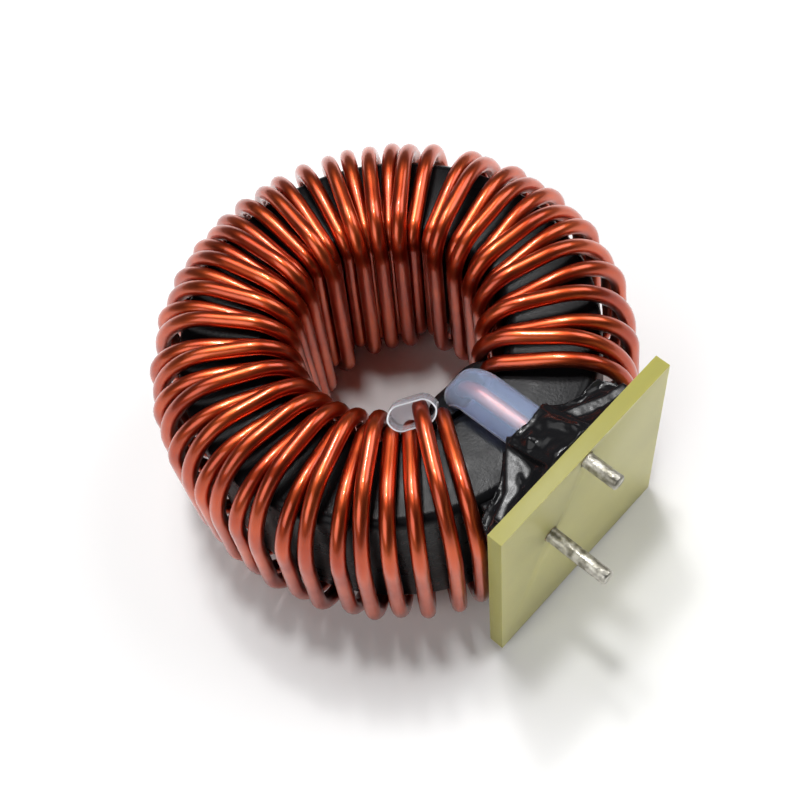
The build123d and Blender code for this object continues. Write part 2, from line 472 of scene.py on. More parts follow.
@dataclass(frozen=True)
class AdhesiveFinish(Finish):
    """Set black adhesive, glossy with a crinkled skin."""

    name: str = "adhesive"
    color: Color = (0.008, 0.008, 0.009)
    roughness: float = 0.2
    settings: Settings = (("Specular IOR Level", 0.22),)
    gloss: Gloss = Gloss(700.0, 0.14, 0.28)
    reliefs: tuple[Relief, ...] = (Relief(420.0, 2.0, 0.0003, 0.4),
                                   Relief(1600.0, 2.0, 0.00004, 0.4))


class SleevePart(Enum):
    """What a tube material is for: its name, its colour and how clear it is."""

    UPPER = ("sleeve", (0.68, 0.77, 0.97), 0.86)
    # Painted light: the lower tube is the same tube as the upper one, made paler and less
    # blue to paint in the grey that its surroundings give it.
    LOWER = ("lower sleeve", (0.84, 0.86, 0.92), 0.86)
    # Painted highlight: a whiter, less clear copy of the tube material, for the bright
    # lines along the tubes' folded sides and cut ends.
    FOLD = ("sleeve fold", (0.88, 0.90, 0.94), 0.3)


@dataclass(frozen=True)
class SleeveFinish(Finish):
    """Clear tube with a faint sheen; a whiter, less clear copy paints a highlight along its
    folded sides and cut ends.
    """

    roughness: float = 0.16
    settings: Settings = (("IOR", 1.18), ("Sheen Weight", 0.25), ("Sheen Roughness", 0.35))

    @classmethod
    def of(cls, part: SleevePart) -> "SleeveFinish":
        """Finish of one part of the tubes.

        Args:
            part: The part.

        Returns:
            The finish.
        """
        name, color, clear = part.value
        return cls(name, color, settings=(("Transmission Weight", clear), *cls.settings))


@dataclass(frozen=True)
class PaperFinish(Finish):
    """Plain pale ground."""

    name: str = "ground"
    color: Color = (0.9, 0.9, 0.9)
    roughness: float = 0.9
    settings: Settings = (("Specular IOR Level", 0.2),)


# The object's own parts

@dataclass
class RingCore:
    """Coated ring under the winding."""

    outer: float = 44.4
    inner: float = 24.7
    height: float = 18.6
    middle: float = 12.9
    rounding: float = 1.2
    rounding_steps: int = 6
    spin_steps: int = 144

    @property
    def top(self) -> float:
        """Height of the core's top face."""
        return self.middle + self.height / 2

    def build(self) -> None:
        """Spin a rounded section round the axis."""
        deselect()
        mid_r = (self.outer + self.inner) / 4
        width = (self.outer - self.inner) / 2
        bpy.ops.mesh.primitive_plane_add(size=1.0, location=(0, 0, 0))
        piece = bpy.context.object
        piece.name = "ring_core"
        piece.scale = (width * MM, self.height * MM, 1.0)
        piece.rotation_euler = (math.radians(90), 0, 0)
        piece.location = (mid_r * MM, 0, self.middle * MM)
        apply_place(piece)
        bpy.ops.object.mode_set(mode="EDIT")
        bpy.ops.mesh.select_all(action="SELECT")
        bpy.ops.mesh.bevel(offset=self.rounding * MM, segments=self.rounding_steps,
                           affect="VERTICES")
        bpy.ops.mesh.select_all(action="SELECT")
        bpy.ops.mesh.delete(type="ONLY_FACE")
        bpy.ops.mesh.select_all(action="SELECT")
        bpy.ops.mesh.spin(steps=self.spin_steps, angle=math.tau, center=(0, 0, 0),
                          axis=(0, 0, 1))
        bpy.ops.object.mode_set(mode="OBJECT")
        merge_and_turn_out(piece, SEAM_MERGE)
        smooth(piece)
        dress(piece, CoreCoatFinish().make(), "core_coating", "core")


@dataclass
class PlatePlane:
    """Base plate's outer face: where it stands and how it leans."""

    width: float = 25.0
    height: float = 27.0
    thick: float = 1.7
    middle_x: float = -0.55
    middle_y: float = -26.21
    lean: float = 2.47
    turn: float = 2.47
    upper_hole: Pair = (-0.05, 12.25)
    lower_hole: Pair = (-5.07, 3.56)

    def __post_init__(self) -> None:
        """Work out the plate's axes and middle."""
        lean, turn = math.radians(self.lean), math.radians(self.turn)
        self.out = Vector((0, -math.cos(lean), -math.sin(lean)))
        self.across = Vector((math.cos(turn), math.sin(turn) * math.sin(lean),
                              -math.sin(turn) * math.cos(lean)))
        self.up = self.out.cross(self.across)
        rise = self.width / 2 * math.sin(turn) + self.height / 2 * math.cos(turn)
        self.middle = Vector((self.middle_x, self.middle_y, rise * math.cos(lean)))

    def point(self, across: float, up: float, out: float = 0.0) -> Vector:
        """Point given along the plate's own axes from the middle of its outer face."""
        return self.middle + self.across * across + self.up * up + self.out * out

    def place(self, across: float, up: float, out: float = 0.0) -> Matrix:
        """Place and turn, in metres, of a piece standing on the plate."""
        turn = Matrix((self.across, self.up, self.out)).transposed().to_4x4()
        return Matrix.Translation(self.point(across, up, out) * MM) @ turn


@dataclass
class Winding:
    """One length of wire wound 49 times round the ring, with both ends to the plate.

    In the bore a first-layer turn lies on the core and a second-layer turn nests on two
    of them. `outer_marks` holds the turns' angles at the outside, and `first_marks` those
    of the first-layer turns in the bore, by number. All angles are in degrees. The lean
    of the bore runs dies out over the `lean_fade` turns before turn `lean_end`.
    """

    plate: PlatePlane
    core: RingCore
    wire: float = 1.7
    coil_r: float = 26.0
    coil_h: float = 25.8
    lie_gap: float = 0.08
    turn_gap: float = 0.12
    first_crest: float = 0.71
    first_climb: float = 6.0
    first_shoulder: float = 6.2
    second_shoulder: Pair = (7.15, 9.05)
    second_bend: float = 4.2
    nest_share: float = 0.88
    bore_lean: float = 6.0
    lean_end: int = 46
    lean_fade: int = 10
    least_lean: float = 0.25
    outer_lean: float = 1.7
    lead_x: float = -0.15
    lead_y: float = -10.7
    lead_ease: float = 0.6
    ease_slope: float = 0.35
    root_run: Pair = (0.3, 0.8)
    root_sink: float = 0.15
    elbow_gap: float = 0.3
    sleeve_end_y: float = -19.9
    sleeve_thick: float = 3.0
    upper_bend: float = 2.7
    sleeved_turn: int = 48
    sleeved_r: float = 9.6
    sleeved_top: float = 243.2
    sleeved_foot: float = 244.7
    bend_steps: int = 9
    across_steps: int = 6
    shoulder_steps: int = 14
    wire_facets: int = 5
    outer_marks: list[float] = field(default_factory=lambda: [
        -61.5, -56.8, -49.8, -41.6, -32.2, -25.5, -17.4, -12.3, -4.4, 0.9, 7.4, 14.7, 19.4,
        30.2, 36.4, 41.3, 47.3, 53.5, 58.9, 66.1, 73.3, 78.6, 84.6, 91.1, 96.0, 100.2,
        105.7, 109.8, 116.2, 121.7, 127.3, 135.9, 140.9, 146.9, 152.1, 159.7, 165.8, 172.5,
        177.3, 184.4, 189.6, 197.4, 202.8, 210.9, 216.4, 222.8, 229.5, 237.2, 243.0])
    first_marks: dict[int, float] = field(default_factory=lambda: {
        1: -73.8, 3: -56.3, 5: -40.5, 7: -24.6, 9: -11.5, 11: 4.6, 13: 19.6, 14: 28.3,
        16: 40.6, 18: 52.2, 20: 64.6, 21: 73.3, 23: 84.7, 24: 93.4, 26: 104.8, 28: 116.2,
        30: 127.6, 32: 139.6, 34: 151.8, 36: 164.2, 38: 176.8, 40: 189.2, 42: 201.2,
        44: 213.0, 46: 226.0, 47: 235.0, 49: 252.0})

    def __post_init__(self) -> None:
        """Work out radii, heights and where each turn's runs stand."""
        self.wire_r = self.wire / 2
        self.outer_r = self.coil_r - self.wire_r
        self.crest_h = self.coil_h / 2 - self.wire_r
        self.first_bore = self.core.inner / 2 - self.wire_r - self.lie_gap
        self.second_bore = self.first_bore - self.nest_share * self.wire
        self.hug_bend = self.core.rounding + self.wire_r + self.lie_gap
        self.hug_h = self.core.height / 2 - self.core.rounding
        self.riser_r = self.core.outer / 2 + self.wire_r + self.lie_gap
        self.turns = len(self.outer_marks)
        kept = list(self.first_marks)
        side = self.least_step(self.first_bore, self.first_bore)
        nest = 2 * self.least_step(self.first_bore, self.second_bore)
        least = [nest if b - a == 2 else side for a, b in zip(kept, kept[1:])]
        edge = self.core.outer / 2
        outer_least = [self.least_step(edge, edge)] * (self.turns - 1)
        self.outer_at = self.spaced(self.outer_marks, outer_least)
        tops = self.spaced(list(self.first_marks.values()), least)
        self.first_top = dict(zip(kept, tops))
        leaning = [self.first_top[k] + self.bore_lean * self.lean_share(k) for k in kept]
        self.first_foot = dict(zip(kept, self.spaced(leaning, least)))

    def least_step(self, r: float, other_r: float) -> float:
        """Smallest angle between two wires that run side by side at two radii."""
        apart = self.wire + self.turn_gap
        return math.degrees(math.acos((r**2 + other_r**2 - apart**2) / (2 * r * other_r)))

    @staticmethod
    def spaced(marks: list[float], least: list[float]) -> list[float]:
        """Marks moved apart, each pair by halves, until no step is under its least one.

        Args:
            marks: Angles in rising order.
            least: Least step after each mark but the last.

        Returns:
            The moved angles.
        """
        marks = list(marks)
        for _ in range(SPACING_ROUNDS):
            for i in range(len(marks) - 1):
                lack = least[i] - (marks[i + 1] - marks[i])
                if lack > 0:
                    marks[i] -= lack / 2
                    marks[i + 1] += lack / 2
        return marks

    def lean_share(self, turn: int) -> float:
        """Share of the full lean; it dies out towards the lower sleeve."""
        return min(1.0, max(self.least_lean, (self.lean_end - turn) / self.lean_fade))

    def is_first(self, turn: int) -> bool:
        """Whether a turn lies directly on the core in the bore."""
        return turn in self.first_top

    def bore_radius(self, turn: int) -> float:
        """Radius of a turn's run through the bore.

        Args:
            turn: Number of the turn, from 1.

        Returns:
            The radius of its centre line.
        """
        if self.is_first(turn):
            return self.first_bore
        return self.sleeved_r if turn == self.sleeved_turn else self.second_bore

    def bore_angle(self, turn: int, top: bool) -> float:
        """Angle of a turn's bore run at its top or bottom end.

        Args:
            turn: Number of the turn, from 1.
            top: Whether the top end is asked for.

        Returns:
            The angle in degrees.
        """
        if turn == self.sleeved_turn:
            return self.sleeved_top if top else self.sleeved_foot
        angles = self.first_top if top else self.first_foot
        if self.is_first(turn):
            return angles[turn]
        return (angles[turn - 1] + angles[turn + 1]) / 2

    @staticmethod
    def bend(middle: Pair, axes: Pair, start: float, end: float, steps: int) -> list[Pair]:
        """Points of an elliptical bend in the radius-height plane.

        Args:
            middle: Centre radius and height.
            axes: Half axes.
            start: First angle in degrees.
            end: Last angle in degrees.
            steps: Number of chords.

        Returns:
            Radius-height pairs.
        """
        angles = [math.radians(start + (end - start) * i / steps) for i in range(steps + 1)]
        return [(middle[0] + axes[0] * math.cos(t), middle[1] + axes[1] * math.sin(t))
                for t in angles]

    def profile(self, bore_r: float, first: bool) -> list[Pair]:
        """Radius-height points of a pass, from the bore run to the outer run.

        Args:
            bore_r: Radius of the bore run.
            first: Whether the run lies directly on the core.

        Returns:
            Radius-height pairs, heights from the core's middle.
        """
        hug = (self.hug_bend, self.hug_bend)
        if first:
            crest, climb = self.hug_h + self.hug_bend + self.first_crest, self.first_climb
            inner = self.bend((bore_r + self.hug_bend, self.hug_h), hug, 180, 90 + climb,
                              self.bend_steps)
            reach, rise = self.first_shoulder, self.first_shoulder
        else:
            crest, climb = self.crest_h, 0.0
            wide = (self.second_bend, self.second_bend)
            inner = self.bend((bore_r + self.second_bend, crest - self.second_bend), wide,
                              180, 90, self.bend_steps)
            reach, rise = self.second_shoulder
        shoulder = self.bend((self.outer_r - reach, crest - rise), (reach, rise), 90, 0,
                             self.shoulder_steps)
        return inner + self.across(inner[-1], shoulder[0], climb) + shoulder

    def across(self, near: Pair, far: Pair, climb: float) -> list[Pair]:
        """Points of the gently bowed run between the bore bend and the shoulder.

        Args:
            near: Last point of the bore bend.
            far: First point of the shoulder.
            climb: Slope in degrees with which the run leaves the bend.

        Returns:
            Points between the two, on a smooth curve that meets the shoulder level.
        """
        start, end = Vector(near), Vector(far)
        leave = Vector((math.cos(math.radians(climb)), math.sin(math.radians(climb))))
        meet = Vector((1, 0))
        span = (end - start).length / 3
        out = []
        for i in range(1, self.across_steps):
            t = i / self.across_steps
            point = (start * (1 - t)**3 + (start + leave * span) * (3 * t * (1 - t)**2)
                     + (end - meet * span) * (3 * t**2 * (1 - t)) + end * t**3)
            out.append((point.x, point.y))
        return out

    def laid(self, points: list[Pair], bore_point: Vector, outer_point: Vector,
             side: int, lean: float = 0.0) -> list[Vector]:
        """A profile laid along the straight line between two points in plan.

        Args:
            points: Radius-height pairs.
            bore_point: Plan point of the bore run.
            outer_point: Plan point of the outer run.
            side: 1 on top of the core, -1 under it.
            lean: Angle in degrees by which the outside is turned at the crest, eased
                to nothing at the core's middle.

        Returns:
            The points in space.
        """
        near, far = points[0][0], points[-1][0]
        out = []
        for r, h in points:
            share = (r - near) / (far - near)
            plan = bore_point.lerp(outer_point, share)
            turn = share * lean * side * math.sin(math.pi / 2 * h / self.crest_h)
            place = Vector((plan.x, plan.y, self.core.middle + side * h))
            out.append(Matrix.Rotation(math.radians(turn), 3, "Z") @ place)
        return out

    @property
    def tube_z(self) -> float:
        """Height of the upper wire end where it lies over the core."""
        return self.core.top + self.sleeve_thick / 2 + self.lie_gap

    def upper_lead(self) -> list[Vector]:
        """Wire end from the plate's outer face, over the core and down to the bore.

        Returns:
            Its points.
        """
        hole, back = self.plate.upper_hole, -self.plate.thick
        near, far = (back - share * self.wire for share in self.root_run)
        sink = Vector((0, 0, self.root_sink * self.wire))
        points = [self.plate.point(*hole), self.plate.point(*hole, near),
                  self.plate.point(*hole, far) - sink]
        points += [Vector((self.lead_x, self.sleeve_end_y - self.lead_ease,
                           self.tube_z + self.ease_slope * self.lead_ease)),
                   Vector((self.lead_x, self.sleeve_end_y + self.lead_ease, self.tube_z))]
        for i in range(self.bend_steps + 1):
            t = math.radians(90 * i / self.bend_steps)
            points.append(Vector((self.lead_x,
                                  self.lead_y - self.upper_bend * (1 - math.sin(t)),
                                  self.tube_z - self.upper_bend * (1 - math.cos(t)))))
        return points

    def lower_lead(self) -> list[Vector]:
        """Wire end from the last bore run, under the core and up its side to the plate.

        Returns:
            Its points.
        """
        root = self.plate.point(*self.plate.lower_hole, -self.plate.thick)
        riser_y = -math.sqrt(self.riser_r**2 - root.x**2)
        hug = (self.hug_bend, self.hug_bend)
        inner = self.bend((self.first_bore + self.hug_bend, self.hug_h), hug, 180, 90,
                          self.bend_steps)
        corner = self.bend((self.riser_r - self.hug_bend, self.hug_h), hug, 90, 0,
                           self.bend_steps)
        foot = polar(self.first_bore, self.bore_angle(self.turns, False))
        points = self.laid(inner + corner, foot, Vector((root.x, riser_y, 0)), -1)
        reach = riser_y - root.y - self.elbow_gap
        rise = root.z + self.elbow_gap * math.sin(math.radians(self.plate.lean))
        for i in range(self.bend_steps + 1):
            t = math.radians(90 * i / self.bend_steps)
            points.append(Vector((root.x, riser_y - reach * (1 - math.cos(t)),
                                  rise - reach * (1 - math.sin(t)))))
        return points + [self.plate.point(*self.plate.lower_hole)]

    def route(self) -> list[Vector]:
        """Points of the whole wire, from the upper end to the lower one.

        Returns:
            The points of its centre line.
        """
        points = self.upper_lead()
        foot, foot_first = Vector((self.lead_x, self.lead_y, 0)), False
        foot_r = foot.length
        lean = self.outer_lean / 2
        for k in range(1, self.turns + 1):
            wall = polar(self.outer_r, self.outer_at[k - 1] - lean)
            points += self.laid(self.profile(foot_r, foot_first), foot, wall, -1, lean)
            head = polar(self.bore_radius(k), self.bore_angle(k, True))
            top = self.profile(self.bore_radius(k), self.is_first(k))
            points += self.laid(top, head, wall, 1, lean)[::-1]
            foot = polar(self.bore_radius(k), self.bore_angle(k, False))
            foot_r, foot_first = self.bore_radius(k), self.is_first(k)
        return points + self.lower_lead()

    def build(self) -> None:
        """Sweep the round wire along its route."""
        curve = path_curve("wire_turns", self.route())
        curve.data.bevel_depth = self.wire_r * MM
        curve.data.bevel_resolution = self.wire_facets
        curve.data.use_fill_caps = True
        piece = curve_to_mesh(curve)
        smooth(piece, degrees=60)
        dress(piece, EnamelFinish().make(), "enamel", "winding")


@dataclass
class BasePlate:
    """Bare laminate plate with two holes."""

    plane: PlatePlane
    hole: float = 1.8
    drill_depth: float = 6.0
    drill_sides: int = 32
    edge_bevel: float = 0.12
    edge_steps: int = 2
    edge_angle: float = 60.0
    face_share: float = 0.5

    def drill(self, piece: bpy.types.Object, hole: Pair) -> None:
        """Cut one hole through the plate.

        Args:
            piece: The plate.
            hole: The hole's place across and up the plate.
        """
        deselect()
        bpy.ops.mesh.primitive_cylinder_add(
            vertices=self.drill_sides, radius=self.hole / 2 * MM,
            depth=self.drill_depth * MM)
        cutter = bpy.context.object
        cutter.matrix_world = self.plane.place(*hole)
        apply_place(cutter)
        apply_modifier(piece, "BOOLEAN", object=cutter, operation="DIFFERENCE",
                       solver="EXACT")
        bpy.data.objects.remove(cutter)

    def build(self) -> None:
        """Shape the plate, drill it and break its edges."""
        deselect()
        bpy.ops.mesh.primitive_cube_add(size=1.0, location=(0, 0, -0.5))
        piece = bpy.context.object
        piece.name = "plate_board"
        apply_place(piece)
        piece.matrix_world = self.plane.place(0, 0) @ Matrix.Diagonal(
            (self.plane.width * MM, self.plane.height * MM, self.plane.thick * MM, 1))
        apply_place(piece)
        self.drill(piece, self.plane.upper_hole)
        self.drill(piece, self.plane.lower_hole)
        apply_modifier(piece, "BEVEL", width=self.edge_bevel * MM,
                       segments=self.edge_steps, limit_method="ANGLE",
                       angle_limit=math.radians(self.edge_angle))
        merge_and_turn_out(piece)
        smooth(piece, degrees=30)
        face_material = LaminateFinish.of(LaminatePart.FACE).make()
        piece.data.materials.append(face_material)
        piece.data.materials.append(LaminateFinish.of(LaminatePart.EDGE).make())
        for face in piece.data.polygons:
            if abs(face.normal.dot(self.plane.out)) < self.face_share:
                face.material_index = 1
        dress(piece, face_material, "laminate", "base_plate")


@dataclass
class WireEnd:
    """Tinned wire end standing out of the plate.

    The foot, bar and tip are drawn out in steps, each a rise and a change of thickness.
    The bar's rises are shares of the length that the foot and the tip leave.
    """

    plane: PlatePlane
    name: str
    node: str
    hole: Pair
    stand_out: float
    radius: float = 0.85
    sides: int = 40
    foot: tuple[Pair, ...] = ((0.25, 0.98), (0.1, 0.965))
    bar: tuple[Pair, ...] = ((0.3, 1.01), (0.4, 0.99), (0.3, 1.01))
    tip: tuple[Pair, ...] = ((0.09, 0.93), (0.06, 0.85))

    def build(self, material: bpy.types.Material) -> None:
        """Shape the end as snipped: a slightly uneven bar with a pinched tip.

        Args:
            material: The tin.
        """
        deselect()
        bpy.ops.mesh.primitive_circle_add(vertices=self.sides, radius=self.radius * MM,
                                          fill_type="NGON")
        piece = bpy.context.object
        piece.name = self.name
        bpy.ops.object.mode_set(mode="EDIT")
        bpy.ops.mesh.select_all(action="SELECT")
        rest = self.stand_out - sum(rise for rise, _ in self.foot + self.tip)
        bar = tuple((share * rest, change) for share, change in self.bar)
        for rise, change in self.foot + bar + self.tip:
            bpy.ops.mesh.extrude_region_move(
                TRANSFORM_OT_translate={"value": (0, 0, rise * MM)})
            bpy.ops.transform.resize(value=(change, change, 1.0), center_override=(0, 0, 0))
        bpy.ops.object.mode_set(mode="OBJECT")
        piece.matrix_world = self.plane.place(*self.hole)
        apply_place(piece)
        merge_and_turn_out(piece)
        smooth(piece, degrees=35)
        dress(piece, material, "tinned_wire", self.node)


@dataclass
class Sleeves:
    """Two pieces of clear flattened tube on the wire ends.

    Each row of `mouth` is a section of the lower tube: its radius and height, its tip in
    degrees and its share of the mouth's turn, widening and thinning.
    """

    winding: Winding
    width: float = 5.1
    bore_narrowing: float = 0.5
    upper_feet: Pair = (18.6, 19.8)
    arc_steps: int = 12
    run_steps: int = 5
    lower_width: float = 4.7
    lower_thick: float = 2.8
    lower_off: float = 2.6
    mouth_turn: float = 4.0
    mouth_widening: float = 0.1
    mouth_thinning: float = 0.35
    mouth: tuple[tuple[float, ...], ...] = (
        (9.6, 8.0, 0, 0), (9.6, 11.0, 0, 0), (9.6, 14.0, 0, 0), (9.6, 17.0, 0, 0),
        (9.6, 20.0, 0, 0), (9.65, 21.2, 0, 0.1), (9.85, 22.1, 3, 0.3),
        (10.25, 23.0, 6, 0.5), (10.8, 23.8, 10, 0.7), (11.4, 24.5, 14, 0.85),
        (11.95, 25.0, 18, 1.0))
    wall: float = 0.16
    sides: int = 40
    flatness: float = 0.3

    def ring(self, middle: Vector, side: Vector, rise: Vector, width: float,
             thick: float) -> list[Vector]:
        """Slot-shaped section of a flattened tube.

        Args:
            middle: Middle of the section.
            side: Unit vector along its width.
            rise: Unit vector along its thickness.
            width: Outside width.
            thick: Outside thickness.

        Returns:
            Points round the section.
        """
        radius = thick / 2
        half = width / 2 - radius
        points = []
        for i in range(self.sides):
            t = math.tau * (i + 0.5) / self.sides
            shift = half if math.cos(t) > 0 else -half
            points.append(middle + side * (shift + radius * math.cos(t)) + rise * (
                radius * math.sin(t) * abs(math.sin(t)) ** self.flatness))
        return points

    def tube(self, name: str, rings: list[list[Vector]], material: bpy.types.Material,
             rim_highlight: bpy.types.Material, node: str) -> None:
        """Skin the sections, give the tube its wall and dress it.

        Args:
            name: Name of the piece.
            rings: Its sections.
            material: Its material.
            rim_highlight: Whiter material that paints a highlight on its folded sides and
                cut ends.
            node: Frame node that it stands for.
        """
        piece = skin(name, rings)
        piece.data.materials.append(material)
        piece.data.materials.append(rim_highlight)
        # Painted highlight: the folded sides, and through the solidify rim the cut ends,
        # get the whiter material.
        folded = (self.sides // 2 - 1, self.sides - 1)
        for face in piece.data.polygons:
            if face.index % self.sides in folded:
                face.material_index = 1
        apply_modifier(piece, "SOLIDIFY", thickness=self.wall * MM, offset=-1.0,
                       use_even_offset=True, material_offset_rim=1)
        smooth(piece, degrees=50)
        dress(piece, material, "sleeve", node)

    def upper_rings(self) -> list[list[Vector]]:
        """Sections of the upper tube, from the bore over the core to the plate.

        Returns:
            The sections.
        """
        w = self.winding
        side, narrow = Vector((1, 0, 0)), self.width - self.bore_narrowing
        rings = [self.ring(Vector((w.lead_x, w.lead_y, z)), side, Vector((0, 1, 0)), narrow,
                           w.sleeve_thick) for z in self.upper_feet]
        arc_y, arc_z = w.lead_y - w.upper_bend, w.tube_z - w.upper_bend
        for i in range(self.arc_steps + 1):
            t = math.radians(90 * i / self.arc_steps)
            middle = Vector((w.lead_x, arc_y + w.upper_bend * math.cos(t),
                             arc_z + w.upper_bend * math.sin(t)))
            rings.append(self.ring(middle, side, Vector((0, math.cos(t), math.sin(t))),
                                   narrow + self.bore_narrowing * i / self.arc_steps,
                                   w.sleeve_thick))
        for i in range(1, self.run_steps + 1):
            y = arc_y + (w.sleeve_end_y - arc_y) * i / self.run_steps
            rings.append(self.ring(Vector((w.lead_x, y, w.tube_z)), side, Vector((0, 0, 1)),
                                   self.width, w.sleeve_thick))
        return rings

    def lower_rings(self) -> list[list[Vector]]:
        """Sections of the lower tube, from its foot in the bore to its bent mouth.

        Returns:
            The sections.
        """
        rings = []
        for radius, height, tip, share in self.mouth:
            angle = self.winding.sleeved_top - self.lower_off - self.mouth_turn * share
            out, slope = polar(1.0, angle), math.radians(tip)
            rings.append(self.ring(out * radius + Vector((0, 0, height)),
                                   Vector((-out.y, out.x, 0)),
                                   out * math.cos(slope) - Vector((0, 0, math.sin(slope))),
                                   self.lower_width + self.mouth_widening * share,
                                   self.lower_thick - self.mouth_thinning * share))
        return rings

    def build(self) -> None:
        """Build both tubes."""
        upper = SleeveFinish.of(SleevePart.UPPER).make()
        # The whiter material paints a highlight on the tubes' folded sides and cut ends.
        rim_highlight = SleeveFinish.of(SleevePart.FOLD).make()
        self.tube("upper_tube", self.upper_rings(), upper, rim_highlight, "sleeve_upper")
        # The lower tube's paler, less blue copy of the tube material paints in the grey
        # that its surroundings give it.
        lower = SleeveFinish.of(SleevePart.LOWER).make()
        self.tube("lower_tube", self.lower_rings(), lower, rim_highlight, "sleeve_lower")


@dataclass
class Adhesive:
    """Black adhesive between the core and the plate, and a black lump in the bore by the
    wire ends.

    `edge` holds the points of the sheet's front edge on the core, and `heights` how high
    it stands at the plate behind each of them. Each row of `folds` is a ridge: its two
    ends in plan, its height and its half width. Each pair of `fill_rim` is a step of the
    bore lump's rounded upper edge: in from its wall and down from its top.
    """

    plane: PlatePlane
    edge: tuple[Place, ...] = (
        (-11.2, -23.4, 22.9), (-10.2, -21.9, 22.9), (-8.9, -21.5, 22.7),
        (-7.4, -21.1, 22.6), (-5.9, -20.5, 22.5), (-4.5, -19.6, 22.5), (-3.3, -18.7, 22.6),
        (-2.9, -18.8, 24.2), (-2.0, -19.3, 25.5), (-0.2, -19.6, 25.6), (1.6, -19.4, 25.5),
        (2.6, -18.9, 24.4), (3.2, -18.9, 23.0), (4.6, -19.9, 22.5), (6.4, -20.5, 22.4),
        (7.8, -20.5, 22.4), (8.9, -20.7, 22.5), (9.5, -21.9, 22.4), (9.8, -23.4, 22.5))
    heights: tuple[float, ...] = (
        24.4, 25.0, 25.8, 26.2, 26.5, 26.7, 26.9, 27.2, 27.6, 27.6, 27.5, 27.2,
        26.8, 26.5, 26.1, 25.6, 25.0, 24.4, 24.0)
    folds: tuple[tuple[float, ...], ...] = (
        (-0.4, -20.4, -9.0, -24.0, 0.75, 0.55), (-3.4, -20.0, -6.4, -24.6, 0.45, 0.4),
        (2.6, -20.2, 8.8, -24.2, 0.6, 0.5), (0.8, -20.2, 1.8, -24.6, 0.35, 0.5),
        (4.2, -21.0, 5.4, -24.6, 0.3, 0.4))
    fold_span: Pair = (0.12, 0.76)
    fold_ease: Pair = (4.0, 5.0)
    edge_steps: int = 5
    drape_steps: int = 24
    sheet_floor: float = 20.5
    sheet_lip: float = 0.5
    plate_bite: float = 0.02
    sag: float = 0.9
    sag_x: float = 4.5
    sag_slant: float = 0.3
    lip_rise: float = 0.35
    lip_share: float = 0.07
    swell: float = 0.3
    swell_scale: float = 0.8
    swell_seed: float = 4.0
    swell_ease: Pair = (3.0, 0.3)
    fill_start: float = -116.0
    fill_sweep: float = 50.0
    fill_steps: int = 24
    fill_top: float = 21.9
    fill_wave: float = 0.05
    fill_wave_step: float = 0.5
    fill_near: float = 8.5
    fill_ends: float = 2.0
    fill_far: float = 12.2
    fill_foot: float = 4.2
    fill_chamfer: Pair = (0.5, 0.8)
    fill_rim: tuple[Pair, ...] = ((0.0, 1.6), (0.3, 0.7), (1.1, 0.1))
    fill_slope: float = 0.2
    voxel: float = 0.16
    smoothing: float = 0.5
    smoothing_rounds: int = 6

    def crease(self, point: Vector) -> float:
        """Height that the folds add at a point.

        Args:
            point: The point, in millimetres.

        Returns:
            The added height.
        """
        height = 0.0
        first, span = self.fold_span
        for x0, y0, x1, y1, rise, width in self.folds:
            start, way = Vector((x0, y0)), Vector((x1 - x0, y1 - y0))
            offset = Vector((point.x, point.y)) - start
            share = max(0.0, min(1.0, offset.dot(way) / way.length_squared))
            away = (offset - way * share).length
            swing = math.sin(math.pi * (first + span * share))
            height += rise * math.exp(-(away / width) ** 2) * swing
        return height

    def stations(self) -> list[tuple[Vector, float]]:
        """Points along the sheet's front edge, each with the height at the plate.

        Returns:
            Pairs of a point and a height.
        """
        found = []
        for (a, b), (ha, hb) in zip(zip(self.edge, self.edge[1:]),
                                    zip(self.heights, self.heights[1:])):
            for i in range(self.edge_steps):
                t = i / self.edge_steps
                found.append((Vector(a).lerp(Vector(b), t), ha + (hb - ha) * t))
        return found + [(Vector(self.edge[-1]), self.heights[-1])]

    def draped(self, front: Vector, back: Vector, t: float) -> Vector:
        """Point of the sheet between its front edge and the plate.

        Args:
            front: Point of the front edge.
            back: Point at the plate.
            t: Share of the way to the plate.

        Returns:
            The point, with its sag, folds, thick lip and swell.
        """
        point = front.lerp(back, t)
        fold_from, fold_to = self.fold_ease
        swell_slope, swell_from = self.swell_ease
        sag = self.sag * min(1.0, (front.x / self.sag_x) ** 2)
        point.z -= sag * math.sin(math.pi * t) * (1 - self.sag_slant * t)
        point.z += self.crease(point) * min(1.0, fold_from * t, fold_to * (1 - t))
        point.z += self.lip_rise * math.exp(-(t / self.lip_share) ** 2)
        swing = noise.noise(Vector((point.x * self.swell_scale, point.y * self.swell_scale,
                                    self.swell_seed)))
        point.z += self.swell * swing * min(1.0, swell_slope * t + swell_from)
        return point

    def sheet(self) -> bpy.types.Object:
        """Draped skin from the core's edge up to the plate, closed underneath.

        Returns:
            The sheet.
        """
        depth = -(self.plane.thick + self.plate_bite)
        rows = []
        for front, height in self.stations():
            back = self.plane.point(front.x, height - self.plane.middle.z, depth)
            row = [Vector((front.x, back.y, self.sheet_floor)),
                   Vector((front.x, front.y, self.sheet_floor)),
                   front - Vector((0, 0, self.sheet_lip))]
            row += [self.draped(front, back, j / self.drape_steps)
                    for j in range(self.drape_steps + 1)]
            rows.append(row)
        return skin("adhesive_sheet", rows, ends=True)

